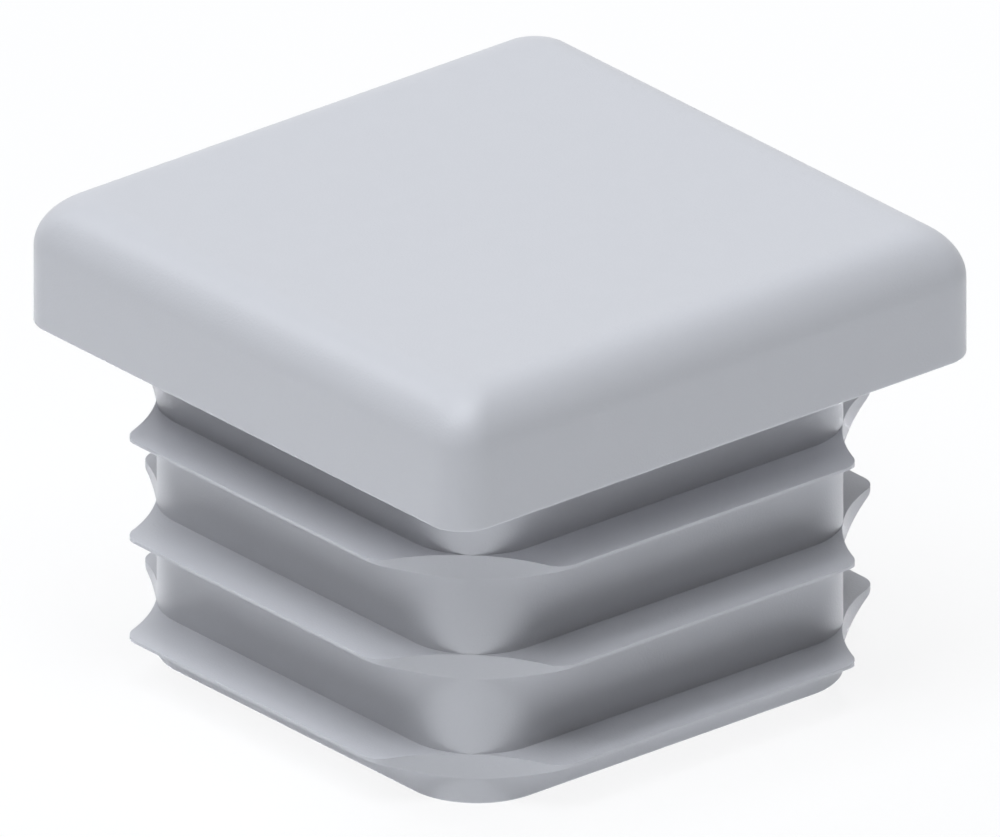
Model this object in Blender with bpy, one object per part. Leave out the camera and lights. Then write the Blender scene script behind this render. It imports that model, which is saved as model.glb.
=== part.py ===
"""Square tube end cap: a moulded plug with a round-edged head, a hollow stem and three tiers of fins.

The head covers the cut end of a 25 mm square tube and rests on its rim. The stem goes into the tube,
where each tier of thin fins bends against the four walls and holds the cap in place. At every corner
of the stem the fins are cut back by a hollow curve, so that they can bend without crowding.

Metres, +Z up. The cap stands on the open rim of its stem, with the origin in the middle of that rim.
"""
from math import acos, cos, pi, radians, sin, sqrt, tan

import bmesh
import bpy
import numpy as np

# Head
HEAD_WIDTH = 0.0250
HEAD_HEIGHT = 0.0050
HEAD_CORNER_RADIUS = 0.0015
HEAD_EDGE_RADIUS = 0.0020

# Stem, a hollow square below the head
STEM_WIDTH = 0.0195
STEM_LENGTH = 0.0130
STEM_CORNER_RADIUS = 0.0030
STEM_WALL = 0.0015
ROOF_THICKNESS = 0.0022
HOLLOW_DRAFT = radians(1.0)
HOLLOW_EDGE_RADIUS = 0.0006

# Fins, wedges with a flat top and a rising underside
FIN_TIERS = 3
FIN_PITCH = 0.0040
FIRST_FIN_DEPTH = 0.0030
FIN_REACH = 0.0022
FIN_ROOT_THICKNESS = 0.0010
FIN_TIP_THICKNESS = 0.00012
FIN_END_RADIUS = 0.0009

# Relief, the hollow curve that cuts the fins back at the stem's corners and all but touches the stem
RELIEF_RADIUS = 0.0070
RELIEF_CLEARANCE = 0.00001

# What the construction needs: the least corner radius of a section, how far joined solids run into
# each other and how far a cutter runs past the face that it opens
LEAST_RADIUS = 0.00005
JOIN_DEPTH = 0.0004
CUT_CLEARANCE = 0.0010

# Straight steps in each curve
HEAD_CORNER_STEPS = 10
HEAD_EDGE_STEPS = 10
STEM_CORNER_STEPS = 16
HOLLOW_CORNER_STEPS = 8
HOLLOW_EDGE_STEPS = 3
FIN_END_STEPS = 5
RELIEF_STEPS = 20
SHARP_ANGLE = radians(25)

TOP = STEM_LENGTH + HEAD_HEIGHT
HALF_HEAD = HEAD_WIDTH / 2
HALF_STEM = STEM_WIDTH / 2

PLASTIC_COLOUR = (0.62, 0.64, 0.69, 1.0)
PLASTIC_ROUGHNESS = 0.5


def clear_scene():
    """Start from an empty scene."""
    for item in list(bpy.data.objects):
        bpy.data.objects.remove(item, do_unlink=True)


def new_collection(name):
    """Make a collection in the scene."""
    collection = bpy.data.collections.new(name)
    bpy.context.scene.collection.children.link(collection)
    return collection


def moulded_plastic():
    """Light grey polyethylene with the satin skin that a fine spark-eroded mould leaves."""
    material = bpy.data.materials.new("light_grey_polyethylene")
    material.use_nodes = True
    shader = material.node_tree.nodes["Principled BSDF"]
    shader.inputs["Base Color"].default_value = PLASTIC_COLOUR
    shader.inputs["Roughness"].default_value = PLASTIC_ROUGHNESS
    shader.inputs["Metallic"].default_value = 0.0
    return material


def arc(centre, radius, start, end, steps):
    """Points along a circular arc, both ends included."""
    turn = np.linspace(start, end, steps + 1)
    return np.asarray(centre) + radius * np.stack([np.cos(turn), np.sin(turn)], axis=1)


def all_corners(corner):
    """Close an outline from its +X +Y corner, turned a quarter three times about the axis."""
    quarter = np.array([[0.0, 1.0], [-1.0, 0.0]])
    return np.concatenate([corner @ np.linalg.matrix_power(quarter, turn) for turn in range(4)])


def rounded_square(half_width, radius, steps):
    """Anticlockwise outline of a square with round corners."""
    centre = half_width - radius
    return all_corners(arc((centre, centre), radius, 0.0, pi / 2, steps))


def mesh_object(name, shape, collection):
    """Turn a bmesh into an object in a collection."""
    bmesh.ops.recalc_face_normals(shape, faces=shape.faces)
    mesh = bpy.data.meshes.new(name)
    shape.to_mesh(mesh)
    shape.free()
    item = bpy.data.objects.new(name, mesh)
    collection.objects.link(item)
    return item


def loft(name, sections, collection):
    """Solid through a stack of outlines with equal counts of points, each given with its height."""
    shape = bmesh.new()
    rings = []
    for outline, height in sections:
        rings.append([shape.verts.new((x, y, height)) for x, y in outline])
    shape.faces.new(rings[0])
    shape.faces.new(rings[-1])
    for lower, upper in zip(rings, rings[1:]):
        for a, b, c, d in zip(lower, lower[1:] + lower[:1], upper[1:] + upper[:1], upper):
            shape.faces.new((a, b, c, d))
    return mesh_object(name, shape, collection)


def block(half_bottom, half_top, bottom, top):
    """Square block, as a bmesh, whose bottom and top may differ in width."""
    shape = bmesh.new()
    bmesh.ops.create_cube(shape, size=2.0)
    for corner in shape.verts:
        half, height = (half_top, top) if corner.co.z > 0 else (half_bottom, bottom)
        corner.co = (corner.co.x * half, corner.co.y * half, height)
    return shape


def round_edges(shape, chosen, radius, steps):
    """Round the edges that a test picks by their two ends."""
    edges = [edge for edge in shape.edges if chosen(edge.verts[0].co, edge.verts[1].co)]
    bmesh.ops.bevel(shape, geom=edges, offset=radius, offset_type="OFFSET", segments=steps,
                    profile=0.5, affect="EDGES", clamp_overlap=True)


def upright(a, b):
    """Whether an edge runs from the bottom of a block to its top."""
    return abs(a.z - b.z) > JOIN_DEPTH


def finned_stem(collection):
    """Outer form of the stem, which runs up into the head: one section swept round its outline.

    Seen in section, each fin is a wedge. Its underside rises evenly from the stem's wall to the tip,
    and its top is level. Here the wedge runs on a little past the tip line, where fin_plan trims it.
    """
    wall = rounded_square(HALF_STEM, STEM_CORNER_RADIUS, STEM_CORNER_STEPS)
    rise = (FIN_ROOT_THICKNESS - FIN_TIP_THICKNESS) / FIN_REACH
    reach = FIN_REACH + FIN_TIP_THICKNESS / (2.0 * rise)
    tip = rounded_square(HALF_STEM + reach, STEM_CORNER_RADIUS + reach, STEM_CORNER_STEPS)
    sections = [(wall, 0.0)]
    for tier in reversed(range(FIN_TIERS)):
        top = STEM_LENGTH - FIRST_FIN_DEPTH - tier * FIN_PITCH
        sections.append((wall, top - FIN_ROOT_THICKNESS))
        sections.append((tip, top - FIN_TIP_THICKNESS / 2.0))
        sections.append((tip, top))
        sections.append((wall, top))
    sections.append((wall, STEM_LENGTH + JOIN_DEPTH))
    return loft("end_cap", sections, collection)


def stem_hollow(collection):
    """Shape of the mould's core: a block that narrows upwards by the draft, with round edges."""
    roof = TOP - ROOF_THICKNESS
    half_rim = HALF_STEM - STEM_WALL
    shape = block(half_rim + CUT_CLEARANCE * tan(HOLLOW_DRAFT), half_rim - roof * tan(HOLLOW_DRAFT),
                  -CUT_CLEARANCE, roof)
    round_edges(shape, upright, STEM_CORNER_RADIUS - STEM_WALL, HOLLOW_CORNER_STEPS)
    round_edges(shape, lambda a, b: min(a.z, b.z) > roof - JOIN_DEPTH, HOLLOW_EDGE_RADIUS,
                HOLLOW_EDGE_STEPS)
    return mesh_object("stem_hollow", shape, collection)


def head(collection):
    """Square head whose top edge is a quarter round.

    The quarter round steps in from the sides as it rises, and each step is an even inset of the head's
    outline: its corner radius shrinks by the same amount, down to a sharp corner.
    """
    sections = [(rounded_square(HALF_HEAD, HEAD_CORNER_RADIUS, HEAD_CORNER_STEPS), STEM_LENGTH)]
    for turn in np.linspace(0.0, pi / 2, HEAD_EDGE_STEPS + 1):
        inset = HEAD_EDGE_RADIUS * (1.0 - cos(turn))
        radius = max(HEAD_CORNER_RADIUS - inset, LEAST_RADIUS)
        outline = rounded_square(HALF_HEAD - inset, radius, HEAD_CORNER_STEPS)
        sections.append((outline, TOP - HEAD_EDGE_RADIUS * (1.0 - sin(turn))))
    return loft("head", sections, collection)


def fin_plan(collection):
    """Upright solid that trims every tier of fins to the same outline, as seen from above.

    A corner of the outline runs from the straight tip of one fin round its end, back along the relief
    to the stem's corner and out to the next fin. The relief's circle lies outside the corner, with its
    centre on the diagonal.
    """
    half_tip = HALF_STEM + FIN_REACH
    stem_corner = HALF_STEM - STEM_CORNER_RADIUS * (1.0 - 1.0 / sqrt(2.0))
    relief = stem_corner + (RELIEF_CLEARANCE + RELIEF_RADIUS) / sqrt(2.0)
    end = half_tip - FIN_END_RADIUS
    meeting = acos((relief - end) / (RELIEF_RADIUS + FIN_END_RADIUS))
    along = relief - (RELIEF_RADIUS + FIN_END_RADIUS) * sin(meeting)
    end_arc = arc((end, along), FIN_END_RADIUS, 0.0, meeting, FIN_END_STEPS)
    relief_arc = arc((relief, relief), RELIEF_RADIUS, pi + meeting, 1.5 * pi - meeting, RELIEF_STEPS)
    outline = all_corners(np.concatenate([end_arc[:-1], relief_arc, end_arc[-2::-1, ::-1]]))
    return loft("fin_plan", [(outline, -CUT_CLEARANCE), (outline, TOP)], collection)


def add_boolean(target, tool, operation):
    """Join, cut or trim one object with another."""
    modifier = target.modifiers.new(tool.name, "BOOLEAN")
    modifier.operation = operation
    modifier.object = tool
    modifier.solver = "EXACT"


def make_tool(item):
    """Mark an object as a construction solid that isn't part of the model."""
    item.hide_render = True
    item.display_type = "WIRE"


def apply_modifiers(item):
    """Replace an object's mesh with what its modifiers make of it."""
    evaluated = item.evaluated_get(bpy.context.evaluated_depsgraph_get())
    mesh = bpy.data.meshes.new_from_object(evaluated)
    mesh.name = item.name
    item.modifiers.clear()
    item.data = mesh


def build_cap():
    """Model the whole cap as one solid."""
    parts = new_collection("square_tube_end_cap")
    tools = new_collection("construction_solids")
    cap = finned_stem(parts)
    steps = [(fin_plan(tools), "INTERSECT"), (head(tools), "UNION"), (stem_hollow(tools), "DIFFERENCE")]
    for tool, operation in steps:
        make_tool(tool)
        add_boolean(cap, tool, operation)

    apply_modifiers(cap)
    cap.data.materials.clear()
    cap.data.materials.append(moulded_plastic())
    cap.data.shade_smooth()
    cap.data.set_sharp_from_angle(angle=SHARP_ANGLE)


clear_scene()
build_cap()
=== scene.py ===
"""Looks of the square tube end cap: its moulded surface and plastic, on a pale floor in soft studio light.

Metres, +Z up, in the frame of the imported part. The cap stands on the open rim of its stem.
"""
from math import acos, asin, cos, pi, radians, sin, sqrt, tan

import bpy
import numpy as np
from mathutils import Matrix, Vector


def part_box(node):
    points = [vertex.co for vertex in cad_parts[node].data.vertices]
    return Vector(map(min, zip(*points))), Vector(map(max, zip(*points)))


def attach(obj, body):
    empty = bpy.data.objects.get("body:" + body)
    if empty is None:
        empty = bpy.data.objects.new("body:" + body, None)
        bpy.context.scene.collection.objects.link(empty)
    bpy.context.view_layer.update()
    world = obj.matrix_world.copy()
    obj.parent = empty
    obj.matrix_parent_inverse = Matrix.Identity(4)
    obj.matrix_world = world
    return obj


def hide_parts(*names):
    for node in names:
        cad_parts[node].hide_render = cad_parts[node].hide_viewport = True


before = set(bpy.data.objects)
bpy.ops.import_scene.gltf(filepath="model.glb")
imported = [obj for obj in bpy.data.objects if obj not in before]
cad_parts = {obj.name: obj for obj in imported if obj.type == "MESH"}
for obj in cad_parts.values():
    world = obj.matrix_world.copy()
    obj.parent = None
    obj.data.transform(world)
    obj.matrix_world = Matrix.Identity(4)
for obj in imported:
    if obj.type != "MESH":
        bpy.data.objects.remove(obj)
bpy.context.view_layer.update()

# End cap
# One shot of light grey polyethylene, injection moulded: a square head on a hollow stem that is pushed into
# the tube, where three tiers of thin wedge fins bend against the walls and hold it.
HALF_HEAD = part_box("end_cap")[1].x
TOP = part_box("end_cap")[1].z
HEAD_HEIGHT = 0.0050
HEAD_CORNER_RADIUS = 0.0015
HEAD_EDGE_RADIUS = 0.0020
SEAT = TOP - HEAD_HEIGHT

HALF_STEM = 0.00975
STEM_CORNER_RADIUS = 0.0030
STEM_WALL = 0.0015
ROOF_THICKNESS = 0.0022
ROOF = TOP - ROOF_THICKNESS
HOLLOW_DRAFT = radians(1.0)
HOLLOW_EDGE_RADIUS = 0.0006

FIN_TOPS = (0.0020, 0.0060, 0.0100)
FIN_REACH = 0.0022
FIN_ROOT_THICKNESS = 0.0010
FIN_TIP_THICKNESS = 0.00012
FIN_END_RADIUS = 0.0009
RELIEF_RADIUS = 0.0070
RELIEF_CLEARANCE = 0.000005

# Small radii that the mould's edges leave: on the rim and the head's lower edge, along the fins, and where
# the head's quarter rounds meet in a mitre
EDGE_RADIUS = 0.00006
FIN_EDGE_RADIUS = 0.000012
MITRE_RADIUS = 0.00003

# Straight steps in each line and curve. A fin's end has two counts, before and after the point at which the
# stem's wall starts to curve. Edges past the sharp angle are shaded sharp.
TIP_STEPS = 12
FIN_END_STEPS = (4, 12)
RELIEF_STEPS = 36
EDGE_STEPS = 4
HOLLOW_EDGE_STEPS = 8
HEAD_EDGE_STEPS = 24
SHARP_ANGLE = radians(30)


def onwards(start, end, steps):
    """Evenly spaced values from a start to an end, without the start itself."""
    return np.linspace(start, end, steps + 1)[1:]


def fin_outline():
    """Outline of the fins from above, as complex numbers, from the middle of the +X side to the corner.

    It runs straight along the tip, turns round the fin's end, and comes back along the hollow relief,
    whose circle is centred on the diagonal, touches the fin's end and all but touches the stem's corner.
    """
    half_tip = HALF_STEM + FIN_REACH
    stem_corner = HALF_STEM - STEM_CORNER_RADIUS * (1.0 - 1.0 / sqrt(2.0))
    relief = stem_corner + (RELIEF_CLEARANCE + RELIEF_RADIUS) / sqrt(2.0)
    end = half_tip - FIN_END_RADIUS
    meeting = acos((relief - end) / (RELIEF_RADIUS + FIN_END_RADIUS))
    straight = relief - (RELIEF_RADIUS + FIN_END_RADIUS) * sin(meeting)
    wall_curves = asin((HALF_STEM - STEM_CORNER_RADIUS - straight) / FIN_END_RADIUS)
    towards_stem = 1.25 * pi
    tip = half_tip + 1j * np.linspace(0.0, straight, TIP_STEPS + 1)
    end_turn = np.concatenate([onwards(0.0, wall_curves, FIN_END_STEPS[0]),
                               onwards(wall_curves, meeting, FIN_END_STEPS[1])])
    relief_turn = onwards(pi + meeting, towards_stem, RELIEF_STEPS)
    return np.concatenate([tip, end + 1j * straight + FIN_END_RADIUS * np.exp(1j * end_turn),
                           relief * (1 + 1j) + RELIEF_RADIUS * np.exp(1j * relief_turn)])


def round_the_cap(eighth):
    """Carry values from one eighth of the outline round all of it: mirrored on the diagonal, then turned."""
    quarter = np.concatenate([eighth, 1j * np.conj(eighth[-2:0:-1])])
    return np.concatenate([quarter * 1j ** turn for turn in range(4)])


# Every section of the cap is a rounded square, whose corner arcs are centred on the corners of a smaller
# square. A station on that smaller square has an arm that points straight out through the wall. The reach
# is how far past the stem's wall the outline of the fins lies on that arm.
arc_centre = HALF_STEM - STEM_CORNER_RADIUS
outline = fin_outline()
square = 1 + 1j * np.minimum(outline.imag / arc_centre, 1.0)
stations = round_the_cap(square)
to_outline = round_the_cap(outline - arc_centre * square)
reach = abs(to_outline) - STEM_CORNER_RADIUS
arms = to_outline / abs(to_outline)


def corner(half, radius, height):
    """Corner of the cap's profile at all stations: arc centres' half-width, arc radius and height."""
    values = np.broadcast_arrays(half - radius, radius, height, np.zeros(len(stations)))
    return np.stack(values[:3], axis=-1)


def along(start, end):
    """Step of unit length from one corner of the profile towards another, at every station.

    It is their difference divided by their distance, where the way outwards is the arc centre's and the
    radius's together.
    """
    way = end - start
    length = np.hypot(way[:, 0] + way[:, 1], way[:, 2])[:, None]
    return np.divide(way, length, out=np.zeros_like(way), where=length > 0)


# Where the rows of points lie on each face, as shares of the way across it
FACE_ROWS = np.array([0.03, 0.97, 1.0])[:, None, None]


def carried_profile(corners):
    """Surface of a profile that is carried round the stations, as a grid of points.

    Each corner of the profile has an edge radius and a count of steps. The rounding is a quarter of an
    ellipse, tangent to both faces: P = A + B - C + (C - B) cos t + (C - A) sin t, where C is the corner
    and A and B lie one edge radius before and after it. Each face gets a row of points just inside both
    of its ends, which keeps the shading of the edges off the face. Where an inset is deeper than the
    arc's radius, the arc centres move in instead, so the corner becomes a mitre.
    """
    rows = [corners[0][0][None]]
    leave = corners[0][0]
    for place, (point, radius, steps) in enumerate(corners[1:], start=1):
        before, after = corners[place - 1][0], corners[min(place + 1, len(corners) - 1)][0]
        size = np.broadcast_to(radius, len(stations))[:, None]
        arrive = point + size * along(point, before)
        rows.append(leave + FACE_ROWS * (arrive - leave))
        leave = arrive
        if steps:
            leave = point + size * along(point, after)
            turn = onwards(0.0, pi / 2, steps)[:, None, None]
            rows.append(arrive + leave - point + (point - leave) * np.cos(turn)
                        + (point - arrive) * np.sin(turn))
    centre, radius, height = np.moveaxis(np.concatenate(rows), -1, 0)
    mitre = np.maximum(MITRE_RADIUS - radius, 0.0)
    plan = (centre - mitre) * stations + (radius + mitre) * arms
    return np.stack([plan.real, plan.imag, height], axis=-1)


def closed_mesh(name, grid):
    """Mesh of a grid whose rows run round a body. Its first and last rows are drawn in to one point each."""
    count = grid.shape[1]
    rows = np.arange(1, grid.shape[0] - 2)[:, None] * count - count + 1
    step = np.arange(count)
    following = (step + 1) % count
    quads = np.stack([rows + step, rows + following, rows + count + following, rows + count + step],
                     axis=-1)
    last = (grid.shape[0] - 3) * count + 1
    first_fan = np.stack([0 * step, following + 1, step + 1], axis=-1)
    last_fan = np.stack([last + step, last + following, 0 * step + last + count], axis=-1)
    points = np.concatenate([grid[0, :1], grid[1:-1].reshape(-1, 3), grid[-1, :1]])
    mesh = bpy.data.meshes.new(name)
    faces = quads.reshape(-1, 4).tolist() + first_fan.tolist() + last_fan.tolist()
    mesh.from_pydata(points.tolist(), [], faces)
    mesh.shade_smooth()
    return mesh


def new_object(name, data):
    """Put a mesh, lamp or camera into the scene as an object."""
    item = bpy.data.objects.new(name, data)
    bpy.context.scene.collection.objects.link(item)
    return item


def fin_corners(top):
    """Four corners of a fin's section: a wedge with a level top and an underside that rises to its tip.

    The two corners at the tip are rounded, by a third of the fin's reach at most, so that the rounding
    still fits where the relief cuts the fin back to the stem.
    """
    underside = top - FIN_ROOT_THICKNESS + (FIN_ROOT_THICKNESS - FIN_TIP_THICKNESS) * reach / FIN_REACH
    edge = np.minimum(FIN_EDGE_RADIUS, reach / 3.0)
    return [
        (corner(HALF_STEM, STEM_CORNER_RADIUS, top - FIN_ROOT_THICKNESS), 0.0, 0),
        (corner(HALF_STEM + reach, STEM_CORNER_RADIUS + reach, underside), edge, EDGE_STEPS),
        (corner(HALF_STEM + reach, STEM_CORNER_RADIUS + reach, top), edge, EDGE_STEPS),
        (corner(HALF_STEM, STEM_CORNER_RADIUS, top), 0.0, 0),
    ]


half_rim = HALF_STEM - STEM_WALL
half_roof = half_rim - ROOF * tan(HOLLOW_DRAFT)
hollow_radius = STEM_CORNER_RADIUS - STEM_WALL
hollow = [
    (corner(0.0, 0.0, ROOF), 0.0, 0),
    (corner(half_roof - hollow_radius, 0.0, ROOF), 0.0, 0),
    (corner(half_roof, hollow_radius, ROOF), HOLLOW_EDGE_RADIUS, HOLLOW_EDGE_STEPS),
    (corner(half_rim, hollow_radius, 0.0), EDGE_RADIUS, EDGE_STEPS),
]
stem = [(corner(HALF_STEM, STEM_CORNER_RADIUS, 0.0), EDGE_RADIUS, EDGE_STEPS)]
for fin_top in FIN_TOPS:
    stem += fin_corners(fin_top)
head_arc_centre = HALF_HEAD - HEAD_CORNER_RADIUS
head = [
    (corner(HALF_STEM, STEM_CORNER_RADIUS, SEAT), 0.0, 0),
    (corner(head_arc_centre, 0.0, SEAT), 0.0, 0),
    (corner(HALF_HEAD, HEAD_CORNER_RADIUS, SEAT), EDGE_RADIUS, EDGE_STEPS),
    (corner(HALF_HEAD, HEAD_CORNER_RADIUS, TOP), HEAD_EDGE_RADIUS, HEAD_EDGE_STEPS),
    (corner(head_arc_centre / 2, 0.0, TOP), 0.0, 0),
    (corner(0.0, 0.0, TOP), 0.0, 0),
]
cap_mesh = closed_mesh("end_cap_moulding", carried_profile(hollow + stem + head))
cap_mesh.set_sharp_from_angle(angle=SHARP_ANGLE)
cap = new_object("end_cap_moulding", cap_mesh)


def linear(colour):
    """Turn an sRGB hex colour into the linear values that a shader takes."""
    srgb = np.array([int(colour[place:place + 2], 16) for place in (1, 3, 5)]) / 255
    return (*np.where(srgb <= 0.04045, srgb / 12.92, ((srgb + 0.055) / 1.055) ** 2.4), 1.0)


def add_node(tree, kind, settings=None, **inputs):
    """Add a node with its settings, and set or link each of its inputs."""
    node = tree.nodes.new(kind)
    for name, value in (settings or {}).items():
        setattr(node, name, value)
    for name, value in inputs.items():
        socket = node.inputs[name.replace("_", " ")]
        if isinstance(value, bpy.types.NodeSocket):
            tree.links.new(value, socket)
        else:
            socket.default_value = value
    return node


# Polyethylene, injection moulded against a fine spark-eroded steel mould. That leaves a satin skin with a
# grain of about 0.04 mm, too fine to show, so it is drawn 0.09 mm wide. The pigment is faintly uneven.
# The IOR is polyethylene's own, and the specular level is lowered to the soft gloss of the real cap.
POLYETHYLENE = "#D4D4D7"
POLYETHYLENE_UNEVEN = "#D2D2D5"
POLYETHYLENE_IOR = 1.51
SPECULAR_LEVEL = 0.35
SATIN_ROUGHNESS = (0.34, 0.42)
GRAIN = 0.00009
GRAIN_DEPTH = 0.000010
GRAIN_DETAIL = 2.0
PIGMENT_CLOUD = 0.0012
PIGMENT_DETAIL = 3.0


def moulded_polyethylene():
    """Light grey polyethylene with the satin grain of its mould."""
    material = bpy.data.materials.new("light_grey_polyethylene_satin_moulded")
    material.use_nodes = True
    tree = material.node_tree
    shader = tree.nodes["Principled BSDF"]
    shader.inputs["IOR"].default_value = POLYETHYLENE_IOR
    shader.inputs["Specular IOR Level"].default_value = SPECULAR_LEVEL
    place = add_node(tree, "ShaderNodeTexCoord").outputs["Object"]
    cloud = add_node(tree, "ShaderNodeTexNoise", Vector=place, Scale=1.0 / PIGMENT_CLOUD,
                     Detail=PIGMENT_DETAIL)
    # The mix takes its two colours on inputs 6 and 7, and gives their blend on output 2
    pigment = add_node(tree, "ShaderNodeMix", {"data_type": "RGBA"})
    tree.links.new(cloud.outputs["Fac"], pigment.inputs["Factor"])
    pigment.inputs[6].default_value = linear(POLYETHYLENE_UNEVEN)
    pigment.inputs[7].default_value = linear(POLYETHYLENE)
    tree.links.new(pigment.outputs[2], shader.inputs["Base Color"])
    grain = add_node(tree, "ShaderNodeTexNoise", Vector=place, Scale=1.0 / GRAIN, Detail=GRAIN_DETAIL)
    satin = add_node(tree, "ShaderNodeMapRange", Value=grain.outputs["Fac"],
                     To_Min=SATIN_ROUGHNESS[0], To_Max=SATIN_ROUGHNESS[1])
    tree.links.new(satin.outputs["Result"], shader.inputs["Roughness"])
    bump = add_node(tree, "ShaderNodeBump", Height=grain.outputs["Fac"], Strength=1.0, Distance=GRAIN_DEPTH)
    tree.links.new(bump.outputs["Normal"], shader.inputs["Normal"])
    return material


cap.data.materials.append(moulded_polyethylene())
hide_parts("end_cap")
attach(cap, "root")

# Floor
# The top of a light table: a cast sheet of opal acrylic, far wider than the view. It lets the light of the
# lamp beneath it through to the cap.
FLOOR_SIZE = 1.2
OPAL_SCATTER = 0.5
SHADOW_STRENGTH = 0.15


def seen_directly(tree):
    """One for rays that show a thing to the camera, directly or in gloss or glass, and zero for the rest."""
    rays = add_node(tree, "ShaderNodeLightPath")
    camera_or_gloss = add_node(tree, "ShaderNodeMath", {"operation": "MAXIMUM"})
    tree.links.new(rays.outputs["Is Camera Ray"], camera_or_gloss.inputs[0])
    tree.links.new(rays.outputs["Is Glossy Ray"], camera_or_gloss.inputs[1])
    seen = add_node(tree, "ShaderNodeMath", {"operation": "MAXIMUM"})
    tree.links.new(camera_or_gloss.outputs["Value"], seen.inputs[0])
    tree.links.new(rays.outputs["Is Transmission Ray"], seen.inputs[1])
    return seen.outputs["Value"]


def opal_acrylic():
    """Cast opal acrylic, an even milky white that scatters half of the light from above back up.

    The camera and the plastic's gloss see it plain white, with a faint share of the cap's shadow.
    """
    material = bpy.data.materials.new("opal_acrylic_cast")
    material.use_nodes = True
    tree = material.node_tree
    tree.nodes.clear()
    seen = seen_directly(tree)
    white = add_node(tree, "ShaderNodeEmission", Color=linear("#FFFFFF"), Strength=seen)
    lit = add_node(tree, "ShaderNodeBsdfDiffuse", Color=linear("#FFFFFF"))
    share = add_node(tree, "ShaderNodeMapRange", Value=seen, To_Min=OPAL_SCATTER, To_Max=SHADOW_STRENGTH)
    surface = add_node(tree, "ShaderNodeMixShader", Fac=share.outputs["Result"])
    tree.links.new(white.outputs["Emission"], surface.inputs[1])
    tree.links.new(lit.outputs["BSDF"], surface.inputs[2])
    add_node(tree, "ShaderNodeOutputMaterial", Surface=surface.outputs["Shader"])
    return material


floor_mesh = bpy.data.meshes.new("studio_floor")
floor_ends = (-FLOOR_SIZE / 2, FLOOR_SIZE / 2)
floor_x, floor_y = np.meshgrid(floor_ends, floor_ends)
floor_points = np.stack([floor_x.ravel(), floor_y.ravel(), np.zeros(4)], axis=-1)
floor_mesh.from_pydata(floor_points.tolist(), [], [(0, 1, 3, 2)])
floor_mesh.materials.append(opal_acrylic())
floor = new_object("studio_floor", floor_mesh)
floor.visible_shadow = False

# Studio light
# Large soft lamps of cool white, as round a product table: one straight above, four high ones round the cap,
# and one beneath the table's opal top. The room is only seen, as plain white, and lights nothing.
DAYLIGHT = "#F5F9FF"


def white_room():
    """Room that the camera and the plastic's gloss see as plain white."""
    world = bpy.data.worlds.new("white_room")
    world.use_nodes = True
    tree = world.node_tree
    tree.nodes.clear()
    room = add_node(tree, "ShaderNodeBackground", Color=linear("#FFFFFF"), Strength=seen_directly(tree))
    add_node(tree, "ShaderNodeOutputWorld", Surface=room.outputs["Background"])
    return world


def soft_lamp(name, bearing, height, width, strength):
    """Distant soft lamp. Its bearing from +X, height above the floor and width are angles in degrees."""
    data = bpy.data.lights.new(name, "SUN")
    data.energy = strength
    data.color = linear(DAYLIGHT)[:3]
    data.angle = radians(width)
    # Lamps are only sampled straight from the lit surface, which also finds the one beneath the opal top
    data.cycles.use_multiple_importance_sampling = False
    lamp = new_object(name, data)
    turn, rise = radians(bearing), radians(height)
    towards = Vector((cos(turn) * cos(rise), sin(turn) * cos(rise), sin(rise)))
    lamp.rotation_euler = towards.to_track_quat("Z", "Y").to_euler()


bpy.context.scene.world = white_room()
soft_lamp("overhead_lamp", bearing=0, height=90, width=30, strength=1.13)
soft_lamp("left_lamp", bearing=180, height=61, width=30, strength=1.05)
soft_lamp("front_lamp", bearing=250, height=66, width=26, strength=0.64)
soft_lamp("back_left_lamp", bearing=111, height=44, width=26, strength=0.47)
soft_lamp("back_right_lamp", bearing=45, height=60, width=40, strength=0.20)
soft_lamp("table_lamp", bearing=0, height=-90, width=132, strength=2.52)

# Camera
# A view with no perspective, 25 degrees down and 40 degrees round to the -X side.
VIEW_AZIMUTH = radians(-40)
VIEW_ELEVATION = radians(25)
VIEW_WIDTH = 0.036437
VIEW_CENTRE = Vector((0.0, 0.0, 0.00966))
VIEW_DISTANCE = 0.2
VIEW_NEAR = 0.002
VIEW_FAR = 20.0

camera_data = bpy.data.cameras.new("camera")
camera_data.type = "ORTHO"
camera_data.ortho_scale = VIEW_WIDTH
camera_data.clip_start = VIEW_NEAR
camera_data.clip_end = VIEW_FAR
level = cos(VIEW_ELEVATION)
back = Vector((sin(VIEW_AZIMUTH) * level, -cos(VIEW_AZIMUTH) * level, sin(VIEW_ELEVATION)))
camera = new_object("camera", camera_data)
camera.location = VIEW_CENTRE + back * VIEW_DISTANCE
camera.rotation_euler = back.to_track_quat("Z", "Y").to_euler()
bpy.context.scene.camera = camera
bpy.context.scene.view_settings.view_transform = "Standard"
